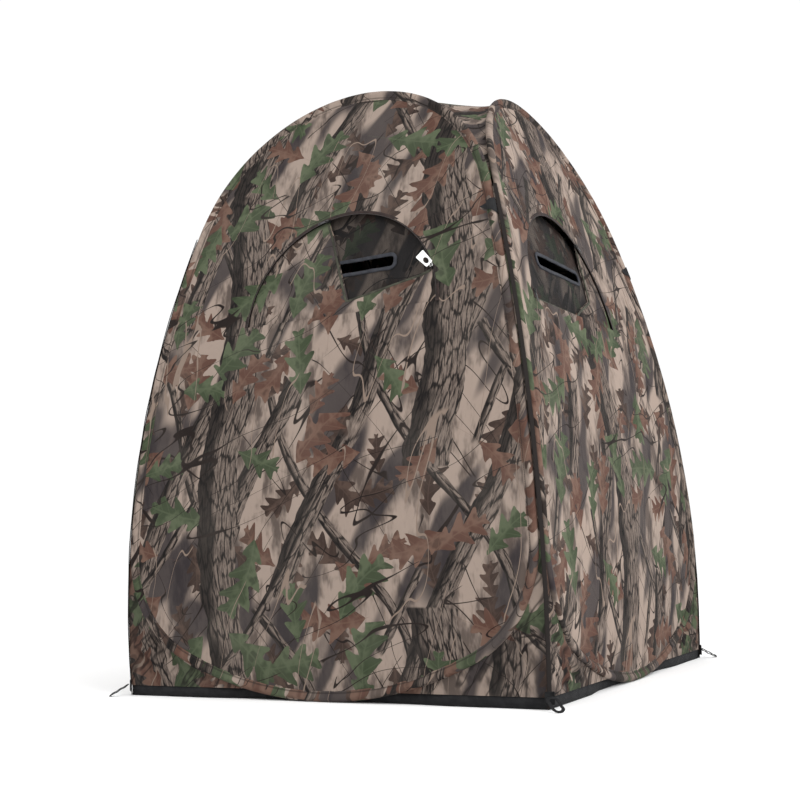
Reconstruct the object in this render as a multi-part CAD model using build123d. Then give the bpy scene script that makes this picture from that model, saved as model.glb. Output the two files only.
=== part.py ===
from build123d import *
import math
import os

# A one-person pop-up hide: four leaning walls, each a closed spring hoop in a cloth sleeve.
# Each wall is built facing -Y, then turned about Z. Millimetres, +Z up, the ground at z = 0.

# Wall surface: an upright arc that bulges outward, the same on all four sides.
WALL_ARC = 3900.0  # radius of the bulge
WALL_REACH = 610.0  # widest distance of the wall from the middle of the hide
WALL_REACH_Z = 220.0  # height of that widest point
CLOTH = 0.6  # half thickness of a cloth sheet
BIG = 1900.0  # longer than any cut

# Hoop outline, seen square on to the wall.
HOOP_INSET = 18.5  # hoop centreline to the corner line, along the seam
TOP_R = 460.0
CORNER_R = 290.0
CORNER_Z = 370.0
ROD_R = 2.5
SLEEVE_R = 11.0
SLEEVE_WALL = 0.6
EDGE_GAP = 1.0  # sleeve to the cloth beside it
SEAM_R = 3.5
SEAM_BOTTOM_Z = 2.0
GUSSET_EDGE = 4.0  # gusset to the corner line
GUSSET_TOP_Z = 430.0
SKIRT_H = 26.0
SKIRT_GAP = 0.5  # ground band to the gusset above it
FERRULE_R = 4.0
FERRULE_BORE = 2.9
FERRULE_HALF = 18.0
ROOF_STEPS = 12
ROOF_SLACK = 2  # how often the level roof is slackened

# Windows: half discs with a zip round the arc.
ARC_R = 285.0
ARC_Z = 973.0  # height of the arc's centre, where the sill lies
FRAME_Z = 1110.0  # height where the zip's plane touches the wall
FRAME_SINK = 1.4  # the zip's plane lies this far behind that tangent
TAPE_W = 10.0
BEAD_W = 3.0
BEAD_T = 1.2
TAPE_T = 0.5
FLAP_R = 277.0
FLAP_BACK = 6.0  # flap behind the wall surface
TONGUE_BACK = 9.0
FLAP_TUCK = 14.0  # flap below the sill
SCREEN_BACK = 20.0
SCREEN_LAP = 15.0
SLOT_W = 290.0
SLOT_H = 30.0
SLOT_UP = 140.0  # slot above the sill
HEM = 16.0
HEM_T = 0.5

# Slider angles round the arc, and the edge of each loose tongue from slider b to slider a.
WINDOWS = {
    "front": (0.0, 40.0, 102.0, 19.5),
    "right": (90.0, -120.0, 176.0, 56.0),
    "left": (-90.0, 0.0, 91.7, 88.3),
}
TONGUE_EDGE = {
    "front": [(17.0, 45.0)],
    "right": [(180.0, 150.0), (172.0, 74.0), (4.0, 2.0), (-262.0, 2.0)],
}
TONGUE_DROP = {"front": 250.0, "right": 275.0}  # travel along the wall
FAR_STEPS = 4

# Zip slider and pull, in the frame across the zip, along it and out of the wall.
PLATE = (10.0, 14.0, 1.4)
PLATE_OUT = 2.4
POST = (1.6, 8.0, 4.8)
POST_IN = 1.5
BRIDGE_W = 2.4
BRIDGE_L = 10.0
BRIDGE_BAR_OUT = 5.6
BRIDGE_BAR_T = 1.2
BRIDGE_LEG_T = 1.6
PIN_R = 0.7
PIN_OUT = 4.2
ARM_AT = 3.2
ARM = (1.0, 9.0, 1.0)
TAB = (7.4, 22.0, 1.2)
TAB_HOLE_R = 1.8
TAG = (23.0, 45.0, 1.0)
TAG_RING = (20.0, 10.0)
TAB_START = 8.0

# Back door: a leaf hung from its top edge between two zips that run up the wall.
DOOR_HALF = 309.0
DOOR_ZIP_X = 315.0
DOOR_BOTTOM_Z, DOOR_TOP_Z = 130.0, 1146.0
DOOR_ROUND = 20.0
DOOR_HOLE_EDGE = 8.0
DOOR_ZIP_BOTTOM_Z, DOOR_ZIP_TOP_Z = 165.0, 1142.0
DOOR_SLIDER_Z = 180.0

# Peg loops at the four ground corners.
LOOP_LONG, LOOP_WIDE, LOOP_T, LOOP_BAND = 60.0, 32.0, 2.0, 8.0
LOOP_Z = 30.0
LOOP_OUT = 6.0
LOOP_SLOPE = 28.5
CORNERS = {"front_left": 225.0, "front_right": 315.0, "back_right": 45.0, "back_left": 135.0}

SIDES = {"front": 0.0, "right": 90.0, "back": 180.0, "left": -90.0}
AXIS_Y = WALL_ARC - WALL_REACH  # the wall arc's axis, behind the front wall


def reach(z, out=0.0):
    """Distance of the wall surface from the middle of the hide at height z."""
    return math.sqrt((WALL_ARC + out) ** 2 - (z - WALL_REACH_Z) ** 2) - AXIS_Y


def hoop_arcs():
    """Centre, radius and end angles of the hoop's four arcs on the right half, from the bottom."""
    side_x, side_r = -AXIS_Y, WALL_ARC - HOOP_INSET
    top_z = WALL_REACH_Z + math.sqrt((side_r - TOP_R) ** 2 - side_x**2)
    top_a = math.degrees(math.atan2(top_z - WALL_REACH_Z, -side_x))
    corner_x = side_x + math.sqrt((side_r - CORNER_R) ** 2 - (CORNER_Z - WALL_REACH_Z) ** 2)
    corner_a = math.degrees(math.atan2(CORNER_Z - WALL_REACH_Z, corner_x - side_x))
    drop = SLEEVE_R - CORNER_Z
    foot_r = (CORNER_R**2 - corner_x**2 - drop**2) / (2 * drop + 2 * CORNER_R)
    foot_z = foot_r + SLEEVE_R
    foot_a = math.degrees(math.atan2(CORNER_Z - foot_z, corner_x))
    return [
        ((0.0, foot_z), foot_r, -90.0, foot_a),
        ((corner_x, CORNER_Z), CORNER_R, foot_a, corner_a),
        ((side_x, WALL_REACH_Z), side_r, corner_a, top_a),
        ((0.0, top_z), TOP_R, top_a, 90.0),
    ]


def hoop_face(out):
    """The area inside the hoop's centreline, grown by out."""
    edges = []
    for (x, z), radius, start, end in hoop_arcs():
        edges.append(CenterArc((x, z), radius + out, start, end - start))
        edges.append(CenterArc((-x, z), radius + out, 180.0 - end, end - start))
    return make_face(edges)


def on_arc(arc, share):
    """The point of the wall surface at this share of one hoop arc."""
    (x, z), radius, start, end = arc
    angle = math.radians(start + (end - start) * share)
    height = z + radius * math.sin(angle)
    return Vector(x + radius * math.cos(angle), -reach(height), height)


def hoop_path():
    """Half the hoop's centreline, from the middle of its foot to its top."""
    foot, corner, side, top = hoop_arcs()
    points = [on_arc(foot, k / 6) for k in range(6)]
    points += [on_arc(corner, k / 9) for k in range(9)]
    points += [on_arc(side, k / 10) for k in range(10)]
    points += [on_arc(top, k / 9) for k in range(10)]
    return Spline(points, tangents=[(1, 0, 0), (-1, 0, 0)])


def ring(radius):
    """A closed round bar along the whole hoop."""
    path = hoop_path()
    half = sweep(Plane(path @ 0, z_dir=(1, 0, 0)) * Circle(radius), path=path)
    return half + mirror(half, Plane.YZ)


def slab(inner, outer):
    """The layer of the wall's curve between two distances out from its surface."""
    lie = Pos(0, AXIS_Y, WALL_REACH_Z) * Rot(0, 90, 0)
    layer = lie * Cylinder(WALL_ARC + outer, BIG) - lie * Cylinder(WALL_ARC + inner, BIG + 2)
    return layer & Pos(0, -BIG / 2, BIG / 2) * Box(BIG, BIG, BIG)


def upright(sketch):
    """A cutter with this outline as seen square on to the wall."""
    return extrude(Plane.XZ * sketch, BIG)


def lean(z):
    """Lean of the wall from upright at height z, in degrees."""
    return math.degrees(math.asin((z - WALL_REACH_Z) / WALL_ARC))


def wall_plane(x, z, along=0.0, out=0.0):
    """A plane touching the wall at (x, z), moved along the wall and out of it."""
    tilt = math.radians(lean(z))
    normal = Vector(0, -math.cos(tilt), math.sin(tilt))
    up = Vector(0, math.sin(tilt), math.cos(tilt))
    origin = Vector(x, -reach(z), z) + up * along + normal * out
    return Plane(origin, x_dir=(1, 0, 0), z_dir=normal)


def window_plane(x):
    """The plane of a window's zip, with its origin at the centre of the arc."""
    along = -(FRAME_Z - ARC_Z) / math.cos(math.radians(lean(FRAME_Z)))
    return wall_plane(x, FRAME_Z, along, -FRAME_SINK)


def half_disc(radius, below=0.0):
    """A disc cut off by a sill this far under its centre."""
    return Circle(radius) & Pos(0, radius - below) * Rectangle(4 * radius, 2 * radius)


def through(plane, sketch):
    """A short cutter through the wall with this outline in the given plane."""
    return extrude(plane * sketch, 60, both=True)


def layer_at(back, half=CLOTH):
    """A thin layer of the wall's curve, this far behind its surface."""
    return slab(-back - half, -back + half)


def dropped(shape, travel):
    """Move a shape down along the wall's curve."""
    axis = Axis((0, AXIS_Y, WALL_REACH_Z), (1, 0, 0))
    return shape.rotate(axis, math.degrees(travel / WALL_ARC))


def round_arc(radius, angle):
    """A point at this angle round a window's arc."""
    turn = math.radians(angle)
    return radius * math.cos(turn), radius * math.sin(turn)


def loose_area(side):
    """The part of a window's flap that hangs loose between its sliders."""
    _, _, angle_a, angle_b = WINDOWS[side]
    far = []
    for k in range(FAR_STEPS + 1):
        far.append(round_arc(2 * ARC_R, angle_a + (angle_b - angle_a) * k / FAR_STEPS))
    edge = [round_arc(ARC_R, angle_b)] + TONGUE_EDGE[side] + [round_arc(ARC_R, angle_a)]
    return make_face(Polyline(*edge, *far, close=True))


def slider_body():
    """A zip slider whose chain lies just outward of x = 0."""
    body = Pos(-POST_IN, 0, 0) * Box(*POST)
    for side in (-1, 1):
        body += Pos(0, 0, side * PLATE_OUT) * Box(*PLATE)
    body += Pos(0, 0, BRIDGE_BAR_OUT) * Box(BRIDGE_W, BRIDGE_L, BRIDGE_BAR_T)
    leg_foot = PLATE_OUT + PLATE[2] / 2
    leg = BRIDGE_BAR_OUT - leg_foot
    for end in (-1, 1):
        at = end * (BRIDGE_L - BRIDGE_LEG_T) / 2
        body += Pos(0, at, leg_foot + leg / 2) * Box(BRIDGE_W, BRIDGE_LEG_T, leg)
    return body


def pull_body(along, tag=False):
    """A pull on its pin, lying along the zip one way or the other."""
    pull = Pos(0, 0, PIN_OUT) * Rot(0, 90, 0) * Cylinder(PIN_R, 2 * ARM_AT + ARM[0])
    for side in (-1, 1):
        pull += Pos(side * ARM_AT, along * ARM[1] / 2, PIN_OUT) * Box(*ARM)
    width, length, thick = TAG if tag else TAB
    plate = Pos(0, along * (TAB_START + length / 2), PIN_OUT) * Box(width, length, thick)
    if tag:
        hole = Pos(0, along * (TAB_START + length / 2), PIN_OUT - 2) * SlotOverall(*TAG_RING, rotation=90)
        return pull + plate - extrude(hole, 4)
    eye = Pos(0, along * (TAB_START + length - 4 * TAB_HOLE_R), PIN_OUT)
    return pull + plate - eye * Cylinder(TAB_HOLE_R, 4)


def wall_zip_ring():
    """The wall's half of a window zip: bead and tape, flat in the zip's plane."""
    bead = Circle(ARC_R + BEAD_W) - Circle(ARC_R)
    tape = Circle(ARC_R + TAPE_W) - Circle(ARC_R + BEAD_W / 2)
    shape = extrude(bead, BEAD_T, both=True) + extrude(tape, TAPE_T, both=True)
    return shape & Pos(0, ARC_R, 0) * Box(3 * ARC_R, 2 * ARC_R, 10)


def gussets():
    """The two cloth pieces between the hoop's lower corners and the corner lines."""
    circle = Pos(-AXIS_Y, WALL_REACH_Z) * Circle(WALL_ARC - GUSSET_EDGE)
    inside = circle & mirror(circle, Plane.YZ)
    foot_z = SKIRT_H + SKIRT_GAP
    band = Pos(0, (foot_z + GUSSET_TOP_Z) / 2) * Rectangle(BIG, GUSSET_TOP_Z - foot_z)
    area = (inside & band) - hoop_face(SLEEVE_R + EDGE_GAP)
    return layer_at(0) & upright(area)


def skirt():
    """The ground band under the gussets of one wall."""
    width = 2 * (reach(0) - GUSSET_EDGE)
    band = Pos(0, SKIRT_H / 2) * Rectangle(width, SKIRT_H)
    return layer_at(0) & upright(band - hoop_face(SLEEVE_R + EDGE_GAP))


def corner_seam():
    """The bound seam up the front right corner."""
    top = hoop_arcs()[3]
    top_z = top[0][1] + TOP_R * math.sin(math.radians(top[2])) - 2 * SLEEVE_R
    points = []
    for k in range(9):
        z = SEAM_BOTTOM_Z + (top_z - SEAM_BOTTOM_Z) * k / 8
        points.append(Vector(reach(z), -reach(z), z))
    path = Spline(points)
    return sweep(Plane(path @ 0, z_dir=path % 0) * Circle(SEAM_R), path=path)


def relax(grid, times):
    """Move every inner point of a grid towards the mean of its neighbours."""
    inner = range(1, len(grid) - 1)
    for _ in range(times):
        for i in inner:
            for j in inner:
                near = (grid[i - 1][j], grid[i + 1][j], grid[i][j - 1], grid[i][j + 1])
                grid[i][j] = [sum(point[n] for point in near) / 4 for n in range(3)]


def level_at(rise, spread):
    """The height in a list of (spread, height) pairs, from the widest down to the middle."""
    for (near, high), (far, low) in zip(rise, rise[1:]):
        if near <= spread <= far:
            return high + (low - high) * (spread - near) / (far - near)
    return rise[0][1] if spread < rise[0][0] else rise[-1][1]


def roof():
    """A sheet hung from the four top arcs, level between neighbouring hoops and then slackened."""
    (_, top_z), _, start, _ = hoop_arcs()[3]
    size = ROOF_STEPS + 1
    edge = []
    for k in range(size):
        angle = math.radians(180 - start - (180 - 2 * start) * k / ROOF_STEPS)
        x, z = TOP_R * math.cos(angle), top_z + TOP_R * math.sin(angle)
        edge.append((x, -reach(z) + HOOP_INSET, z))
    grid = [[[0.0, 0.0, top_z + TOP_R / 2] for _ in range(size)] for _ in range(size)]
    for k, (x, y, z) in enumerate(edge):
        grid[k][0] = [x, y, z]
        grid[k][-1] = [x, -y, z]
        grid[0][k] = [y, x, z]
        grid[-1][k] = [-y, x, z]
    relax(grid, 300)
    rise = sorted((abs(x) + abs(y), z) for x, y, z in edge[: size // 2 + 1])
    for row in grid[1:-1]:
        for point in row[1:-1]:
            point[2] = level_at(rise, abs(point[0]) + abs(point[1]))
    relax(grid, ROOF_SLACK)
    points = [[Vector(*point) for point in row] for row in grid]
    face = Face.make_surface_from_array_of_points(points)
    return Solid.thicken(face, -2 * CLOTH)


def peg_loop(turn):
    """A webbing loop that slopes from a ground corner out to the ground."""
    band = SlotOverall(LOOP_LONG, LOOP_WIDE) - SlotOverall(LOOP_LONG - 2 * LOOP_BAND, LOOP_WIDE - 2 * LOOP_BAND)
    loop = Pos(LOOP_LONG / 2, 0, 0) * extrude(band, LOOP_T / 2, both=True)
    corner = math.hypot(reach(LOOP_Z), reach(LOOP_Z)) + LOOP_OUT
    return Rot(0, 0, turn) * Pos(corner, 0, LOOP_Z) * Rot(0, LOOP_SLOPE, 0) * loop


def door_strip(inner, outer, thick):
    """A strip of the wall's curve up both sides of the door."""
    tall = DOOR_ZIP_TOP_Z - DOOR_ZIP_BOTTOM_Z
    middle = (DOOR_ZIP_TOP_Z + DOOR_ZIP_BOTTOM_Z) / 2
    area = Pos((inner + outer) / 2, middle) * Rectangle(outer - inner, tall)
    area += mirror(area, Plane.YZ)
    return layer_at(0, thick) & upright(area)


def save(shape, name, turn=0.0):
    """Turn a shape about Z and write it as one node."""
    placed = Rot(0, 0, turn) * shape
    placed.label = name
    export_step(placed, f"parts/{name}.step")


os.makedirs("parts", exist_ok=True)

rod = ring(ROD_R)
sleeve = ring(SLEEVE_R) - ring(SLEEVE_R - SLEEVE_WALL)
ferrule = Pos(0, -reach(SLEEVE_R), SLEEVE_R) * Rot(0, 90, 0)
ferrule = ferrule * (Cylinder(FERRULE_R, 2 * FERRULE_HALF) - Cylinder(FERRULE_BORE, 3 * FERRULE_HALF))
panel = layer_at(0) & upright(hoop_face(-SLEEVE_R - EDGE_GAP))
corner_cloth = gussets()
ground_band = skirt()

for side, turn in SIDES.items():
    save(rod, f"{side}_hoop", turn)
    save(sleeve, f"{side}_sleeve", turn)
    save(corner_cloth, f"{side}_gussets", turn)
save(Compound([Rot(0, 0, turn) * ferrule for turn in SIDES.values()]), "hoop_ferrules")
save(Compound([Rot(0, 0, turn) * ground_band for turn in SIDES.values()]), "ground_skirt")
seam = corner_seam()
save(Compound([Rot(0, 0, turn) * seam for turn in SIDES.values()]), "corner_seams")
save(roof(), "roof")
for corner, turn in CORNERS.items():
    save(peg_loop(turn), f"{corner}_peg_loop")

zip_ring = wall_zip_ring()
for side, (turn, x, angle_a, angle_b) in WINDOWS.items():
    plane = window_plane(x)
    hole = half_disc(ARC_R + TAPE_W + CLOTH)
    save(panel - through(plane, hole), f"{side}_panel", turn)
    save(plane.location * zip_ring, f"{side}_window_zip", turn)
    slot = Pos(0, SLOT_UP) * Rectangle(SLOT_W, SLOT_H)
    frame = Pos(0, SLOT_UP) * Rectangle(SLOT_W + 2 * HEM, SLOT_H + 2 * HEM)
    mesh_area = half_disc(ARC_R + SCREEN_LAP, SCREEN_LAP) - slot
    save(layer_at(SCREEN_BACK) & through(plane, mesh_area), f"{side}_window_screen", turn)
    hem_back = SCREEN_BACK - CLOTH - 2 * HEM_T
    save(layer_at(hem_back, HEM_T) & through(plane, frame - slot), f"{side}_slot_hem", turn)
    flap_area = half_disc(FLAP_R, FLAP_TUCK)
    if side in TONGUE_EDGE:
        tongue = layer_at(TONGUE_BACK) & through(plane, flap_area & loose_area(side))
        save(dropped(tongue, TONGUE_DROP[side]), f"{side}_flap_tongue", turn)
        flap_area -= loose_area(side)
    save(layer_at(FLAP_BACK) & through(plane, flap_area), f"{side}_window_flap", turn)
    for letter, angle, along in (("a", angle_a, 1), ("b", angle_b, -1)):
        has_tag = side == "front" and letter == "b"
        place = plane.location * Rot(0, 0, angle) * Pos(ARC_R, 0, 0)
        save(place * slider_body(), f"{side}_slider_{letter}", turn)
        pull = pull_body(1 if has_tag else along, has_tag)
        save(place * pull, f"{side}_pull_{letter}", turn)

door_hole_top = DOOR_TOP_Z + DOOR_HOLE_EDGE
door_hole_bottom = DOOR_BOTTOM_Z - DOOR_HOLE_EDGE
hole_half = DOOR_ZIP_X + TAPE_W + CLOTH
door_hole = Pos(0, (door_hole_top + door_hole_bottom) / 2) * Rectangle(
    2 * hole_half, door_hole_top - door_hole_bottom
)
save(panel - upright(door_hole), "back_panel", SIDES["back"])
leaf = Pos(0, (DOOR_TOP_Z + DOOR_BOTTOM_Z) / 2) * RectangleRounded(
    2 * DOOR_HALF, DOOR_TOP_Z - DOOR_BOTTOM_Z, DOOR_ROUND
)
save(layer_at(0) & upright(leaf), "back_door", SIDES["back"])
door_zip = door_strip(DOOR_ZIP_X, DOOR_ZIP_X + BEAD_W, BEAD_T)
door_zip += door_strip(DOOR_ZIP_X + BEAD_W / 2, DOOR_ZIP_X + TAPE_W, TAPE_T)
save(door_zip, "back_door_zip", SIDES["back"])
for letter, hand in (("a", 1), ("b", -1)):
    place = wall_plane(hand * DOOR_ZIP_X, DOOR_SLIDER_Z).location
    body = slider_body()
    if hand < 0:
        body = mirror(body, Plane.YZ)
    save(place * body, f"back_slider_{letter}", SIDES["back"])
    save(place * pull_body(-1), f"back_pull_{letter}", SIDES["back"])
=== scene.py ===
"""A pop-up field blind: sewn cloth, print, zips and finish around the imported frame. Metres, +Z up."""
from math import asin, atan2, ceil, copysign, cos, degrees, dist, exp, hypot, pi, radians, sin, sqrt

import bmesh
import bpy
import numpy as np
from mathutils import Matrix, Vector, noise
from mathutils.geometry import delaunay_2d_cdt
from mathutils.kdtree import KDTree


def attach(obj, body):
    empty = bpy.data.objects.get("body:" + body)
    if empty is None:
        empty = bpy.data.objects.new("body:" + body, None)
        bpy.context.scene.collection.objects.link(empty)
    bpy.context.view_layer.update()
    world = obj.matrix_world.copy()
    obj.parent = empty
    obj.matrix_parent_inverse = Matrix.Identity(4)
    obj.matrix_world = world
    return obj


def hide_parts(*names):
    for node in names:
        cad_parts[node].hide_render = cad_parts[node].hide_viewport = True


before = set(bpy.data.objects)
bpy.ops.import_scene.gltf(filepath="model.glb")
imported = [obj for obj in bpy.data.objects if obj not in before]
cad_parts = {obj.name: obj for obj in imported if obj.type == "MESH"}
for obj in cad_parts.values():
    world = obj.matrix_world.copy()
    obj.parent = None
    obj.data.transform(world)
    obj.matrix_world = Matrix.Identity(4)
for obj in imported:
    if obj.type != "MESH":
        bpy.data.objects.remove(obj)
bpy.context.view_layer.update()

# The wall's surface and the hoop's outline, as in the frame.
WALL_ARC, WALL_REACH, WALL_REACH_Z = 3.9, 0.610, 0.220
AXIS_Y = WALL_ARC - WALL_REACH
HOOP_INSET, TOP_R, CORNER_R, CORNER_Z = 0.0185, 0.460, 0.290, 0.370
SLEEVE_R = 0.011
SIDES = {"front": 0.0, "right": 90.0, "back": 180.0, "left": -90.0}

# Windows: centre across the wall and slider angles round the arc.
ARC_R, ARC_Z, FRAME_Z, FRAME_SINK = 0.285, 0.973, 1.110, 0.0014
WINDOWS = {
    "front": (0.040, 102.0, 19.5),
    "right": (-0.120, 176.0, 56.0),
    "left": (0.0, 91.7, 88.3),
}
TONGUE_EDGE = {
    "front": [(0.017, 0.045)],
    "right": [(0.180, 0.150), (0.172, 0.074), (0.004, 0.002), (-0.262, 0.002)],
}
TONGUE_DROP = {"front": 0.250, "right": 0.275}
FLAP_R, TONGUE_R, FLAP_BACK, TONGUE_BACK = 0.2868, 0.276, 0.0056, 0.0085
FLAP_SILL = -0.012  # foot of each flap, below the arc's centre
FOLD_WIDE = 0.0032  # half width of the fold sewn along a flap's loose edge
SLOT_W, SLOT_H, SLOT_UP = 0.290, 0.030, 0.140
SCREEN_BACK, SCREEN_LAP = 0.020, 0.015

# Back door.
DOOR_ZIP_X, DOOR_BOTTOM_Z, DOOR_TOP_Z, DOOR_SLIDER_Z = 0.315, 0.130, 1.146, 0.180
DOOR_HALF, DOOR_ROUND = 0.3125, 0.020
DOOR_ZIP_LOW, DOOR_ZIP_HIGH = 0.160, 1.142
DOOR_BINDING_Z, DOOR_BINDING_HALF = 1.153, 0.335

# Peg loops.
LOOP_LONG, LOOP_WIDE, LOOP_BAND, LOOP_T = 0.060, 0.032, 0.008, 0.002
LOOP_Z, LOOP_OUT, LOOP_SLOPE = 0.030, 0.006, 28.5
CORNERS = {"front_left": 225.0, "front_right": 315.0, "back_right": 45.0, "back_left": 135.0}

SKIRT_H = 0.030
SEAM_TOP = 1.264  # height where neighbouring hoops part
ROOF_INSET = 0.007  # roof edge behind the hoops
GRID = 0.009  # spacing of the points inside a sheet
EDGE_STEP = 0.006  # spacing of the points round its edge

# Zip teeth: spacing, half length at the foot, height and inset at the top.
TOOTH_PITCH, TOOTH_HALF, TOOTH_TOP, TOOTH_INSET = 0.0026, 0.00085, 0.0013, 0.0004
BOX_FACES = ((0, 3, 2, 1), (4, 5, 6, 7), (0, 1, 5, 4), (1, 2, 6, 5), (2, 3, 7, 6), (3, 0, 4, 7))

# Zip sliders. Blocks: size, place and bevel of the post, the bar over the pin and its two legs.
SLIDER_BLOCKS = [
    ((0.0016, 0.008, 0.0046), (-0.0015, 0, 0), 0.0004),
    ((0.0024, 0.010, 0.0013), (0, 0, 0.0056), 0.0005),
    ((0.0024, 0.0016, 0.0030), (0, -0.0042, 0.0044), 0.0004),
    ((0.0024, 0.0016, 0.0030), (0, 0.0042, 0.0044), 0.0004),
]
SLIDER_PLATE = (0.0138, 0.0096, 0.0015, 0.0028, None, 0.72)
SLIDER_PLATE_OUT = 0.0024
# Plates: length, width, thickness, corner radius, hole (across, along, place) and taper.
PULL_PLATE = (0.022, 0.0074, 0.0013, 0.0022, (0.0034, 0.0048, 0.006), 0.8)
TAG_PLATE = (0.047, 0.027, 0.0014, 0.0035, (0.013, 0.021, -0.007), 0.78)
PULL_ARM = (0.0011, 0.0095, 0.0011)
PULL_START = 0.008  # a pull's plate beyond its pin
PIN_R, PIN_HALF, PIN_OUT = 0.0007, 0.0036, 0.0042
TAG_SLEW = 24.0  # the loose white tag's turn on its pin

# Each wall's noise seed, and how far its print is shifted.
SEEDS = {side: 11.0 * n + 2.0 for n, side in enumerate(SIDES)}
SHIFTS = {side: (0.37 * n, 0.53 * n) for n, side in enumerate(SIDES)}

CAMERA_AT = (1.671, -3.170, 0.368)
CAMERA_YAW, CAMERA_PITCH, CAMERA_ROLL = 28.94, 6.95, -2.0
SENSOR, LENS = 36.0, 54.702  # millimetres


# ---------------------------------------------------------------- node helpers
class Val:
    """A node output that can be used in a formula."""

    def __init__(self, node, output=0):
        self.tree = node.id_data
        self.out = node.outputs[output]

    def __add__(self, other):
        return calc("ADD", self, other)

    def __sub__(self, other):
        return calc("SUBTRACT", self, other)

    def __mul__(self, other):
        return calc("MULTIPLY", self, other)

    def __truediv__(self, other):
        return calc("DIVIDE", self, other)

    def __abs__(self):
        return calc("ABSOLUTE", self)

    __radd__ = __add__
    __rmul__ = __mul__

    def __rsub__(self, other):
        return calc("SUBTRACT", other, self)


def feed(socket, value):
    """Link a Val into a socket, or set the socket to a plain value."""
    if isinstance(value, Val):
        value.tree.links.new(value.out, socket)
    else:
        socket.default_value = value


def new_node(kind, *values):
    """A new node in the tree of the first of these values that is a Val."""
    return next(value.tree for value in values if isinstance(value, Val)).nodes.new(kind)


def calc(operation, *values):
    """A Math node."""
    node = new_node("ShaderNodeMath", *values)
    node.operation = operation
    for socket, value in zip(node.inputs, values):
        feed(socket, value)
    return Val(node)


def ramp(value, low, high):
    """0 below low, 1 above high, smooth between."""
    node = new_node("ShaderNodeMapRange", value)
    node.interpolation_type = "SMOOTHSTEP"
    feed(node.inputs["Value"], value)
    node.inputs["From Min"].default_value = low
    node.inputs["From Max"].default_value = high
    return Val(node)


def mixed(factor, first, second):
    """A colour mix."""
    node = new_node("ShaderNodeMix", factor, first, second)
    node.data_type = "RGBA"
    feed(node.inputs[0], factor)
    for index, colour in ((6, first), (7, second)):
        feed(node.inputs[index], colour if isinstance(colour, Val) else (*colour, 1.0))
    return Val(node, 2)


def vector(x, y):
    node = new_node("ShaderNodeCombineXYZ", x, y)
    for socket, value in zip(node.inputs, (x, y)):
        feed(socket, value)
    return Val(node)


def split(value):
    node = new_node("ShaderNodeSeparateXYZ", value)
    feed(node.inputs[0], value)
    return [Val(node, k) for k in range(3)]


def cloud(where, scale, detail, rough):
    """A noise texture's value, about 0.5 in the middle."""
    node = new_node("ShaderNodeTexNoise", where)
    node.noise_dimensions = "2D"
    feed(node.inputs["Vector"], where)
    node.inputs["Scale"].default_value = scale
    node.inputs["Detail"].default_value = detail
    node.inputs["Roughness"].default_value = rough
    return Val(node)


def blot(x, y, detail=2.0, rough=0.5):
    """The noise at a place on the cloth, at a scale of 1."""
    return cloud(vector(x, y), 1.0, detail, rough)


def cells(where, scale=1.0, randomness=1.0, feature="F1"):
    node = new_node("ShaderNodeTexVoronoi", where)
    node.voronoi_dimensions = "2D"
    node.feature = feature
    feed(node.inputs["Vector"], where)
    node.inputs["Scale"].default_value = scale
    node.inputs["Randomness"].default_value = randomness
    return {out.name: Val(node, k) for k, out in enumerate(node.outputs)}


def turned(x, y, degrees):
    """The same point in axes turned by this angle."""
    c, s = cos(radians(degrees)), sin(radians(degrees))
    return x * c + y * s, y * c - x * s


# ---------------------------------------------------------------- the print
TAN, TAN_DARK, HAZE = (0.262, 0.206, 0.172), (0.080, 0.061, 0.052), (0.020, 0.017, 0.020)
BARK, BARK_LIT, BARK_CRACK = (0.060, 0.046, 0.040), (0.158, 0.124, 0.104), (0.007, 0.006, 0.006)
TWIG, TWIG_LIT = (0.013, 0.009, 0.008), (0.185, 0.138, 0.110)
GREEN, GREEN_LIT, GREEN_DARK = (0.036, 0.048, 0.026), (0.070, 0.086, 0.050), (0.014, 0.020, 0.011)
RUST, RUST_LIT, RUST_DARK = (0.076, 0.038, 0.028), (0.120, 0.070, 0.052), (0.032, 0.017, 0.013)
BROWN, BROWN_LIT, BROWN_DARK = (0.034, 0.022, 0.018), (0.066, 0.043, 0.034), (0.012, 0.008, 0.008)


def bark(across, along, half_width, seed):
    """Bark colour for a stem: cracks along it, lit on one side and dark on the other."""
    cracks = cells(vector(across * 62.0 + seed, along * 15.0), 1.0, 1.0, "DISTANCE_TO_EDGE")
    grain = blot(across * 170.0, along * 24.0 + seed, 3.0, 0.7)
    tone = mixed(ramp(grain, 0.36, 0.62), BARK, BARK_LIT)
    gap = ramp(cracks["Distance"] + (grain - 0.5) * 0.45, 0.02, 0.16)
    tone = mixed(gap * 0.92 + 0.08, BARK_CRACK, tone)
    side = across / half_width + (blot(across * 9.0, along * 6.0 + seed) - 0.5) * 1.9
    return mixed(ramp(side, 0.0, 0.5) * 0.88, tone, BARK_CRACK)


def stems(x, y, colour, degrees, spacing, half_width, seed, cover):
    """Stems that run at an angle, each broken up along its length."""
    along, across = turned(x, y, degrees)
    bend = blot(along * 1.5, seed, 1.0) - 0.5
    lane = (across + bend * 0.20) / spacing
    index = calc("FLOOR", lane)
    across = (lane - index - 0.5) * spacing
    edge = blot(along * 13.0, index * 3.7 + seed, 2.0) - 0.5
    shape = abs(across) + edge * half_width * 0.6
    present = blot(along * 1.9 + seed, index * 5.3, 0.0)
    mask = (1.0 - ramp(shape, half_width - 0.001, half_width + 0.001)) * ramp(present, cover, cover + 0.01)
    return mixed(mask, colour, bark(across, along, half_width, seed))


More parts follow.
